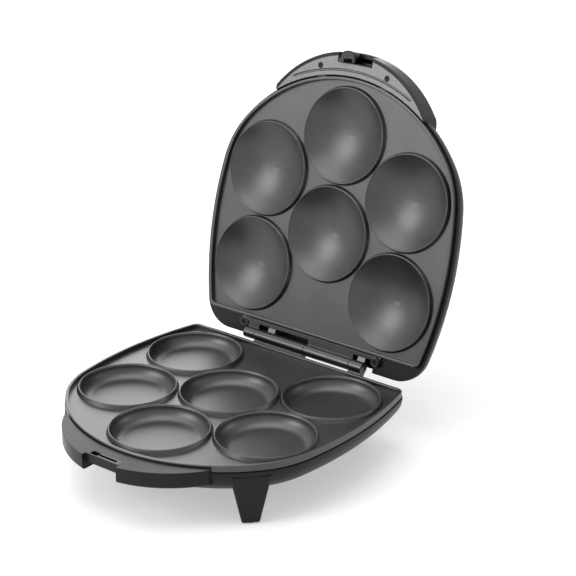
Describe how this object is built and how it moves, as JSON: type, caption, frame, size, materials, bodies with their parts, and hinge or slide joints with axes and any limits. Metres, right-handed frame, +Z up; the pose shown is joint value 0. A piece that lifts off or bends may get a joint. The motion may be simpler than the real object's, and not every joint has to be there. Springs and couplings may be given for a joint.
{
  "type": "arepa maker",
  "caption": "Countertop arepa maker, open: round-fronted lower half on legs and hinged lid, facing nonstick plates with round cups, crescent handles and a sliding latch.",
  "frame": {"origin": "on the table, under the middle of the open machine", "axes": "+X to the machine's right seen from the handle side, +Y from the handle to the hinge, +Z up"},
  "size_m": [0.29, 0.3902, 0.3415],
  "materials": {
    "casing": "satin black moulded plastic",
    "nonstick": "cast aluminium with a dark satin nonstick coat",
    "silver_face": "fine-grained silver-grey plastic",
    "button": "glossy black plastic",
    "screw_steel": "plated steel",
    "sheet_steel": "bright sheet steel",
    "heater_tube": "oxidised steel tube",
    "tray_sheet": "bright rolled sheet",
    "rubber": "black rubber",
    "lens_red": "clear red plastic",
    "lens_green": "clear green plastic",
    "ceramic": "off-white ceramic and plastic",
    "cable": "heat-proof sleeving",
    "board": "brown circuit board"
  },
  "bodies": {
    "base": {"base_casing": "casing", "base_heater": "heater_tube", "base_heater_clamps": "sheet_steel", "base_hinge_cable": "cable", "base_hinge_screws": "screw_steel", "base_hinge_strip": "casing", "base_plate": "nonstick", "base_plate_screws": "screw_steel", "base_thermostat": "ceramic", "base_tray": "tray_sheet", "base_tray_screws": "screw_steel", "base_wires": "cable", "cord_gland": "rubber", "foot_pad_front_left": "rubber", "foot_pad_front_right": "rubber", "foot_pad_rear_left": "rubber", "foot_pad_rear_right": "rubber", "hinge_pin_left": "screw_steel", "hinge_pin_right": "screw_steel", "latch_keeper": "sheet_steel", "leg_front_left": "casing", "leg_front_right": "casing", "leg_rear_left": "casing", "leg_rear_right": "casing", "leg_screws": "screw_steel", "terminal_block": "ceramic", "terminal_screw": "screw_steel", "thermal_fuse": "ceramic"},
    "lid": {"lid_casing": "casing", "lid_handle_face": "silver_face", "lid_handle_screws": "screw_steel", "lid_heater": "heater_tube", "lid_heater_clamps": "sheet_steel", "lid_hinge_cable": "cable", "lid_hinge_screws": "screw_steel", "lid_hinge_strip": "casing", "lid_plate": "nonstick", "lid_thermostat": "ceramic", "lid_tray": "tray_sheet", "lid_tray_screws": "screw_steel", "lid_wires": "cable", "lamp_board": "board", "lamp_board_screws": "screw_steel", "power_lamp_lens": "lens_red", "ready_lamp_lens": "lens_green"},
    "latch": {"latch_button": "button", "latch_retainer": "sheet_steel", "latch_screw": "screw_steel"}
  },
  "joints": [
    {"name": "lid_hinge", "type": "hinge", "parent": "base", "child": "lid", "pos_m": [0, 0.09655, 0.05915], "axis": [1, 0, 0], "range_deg": [0, 105.1]},
    {"name": "latch_slide", "type": "slide", "parent": "lid", "child": "latch", "axis": [1, 0, 0], "range_m": [0, 0.018]}
  ]
}
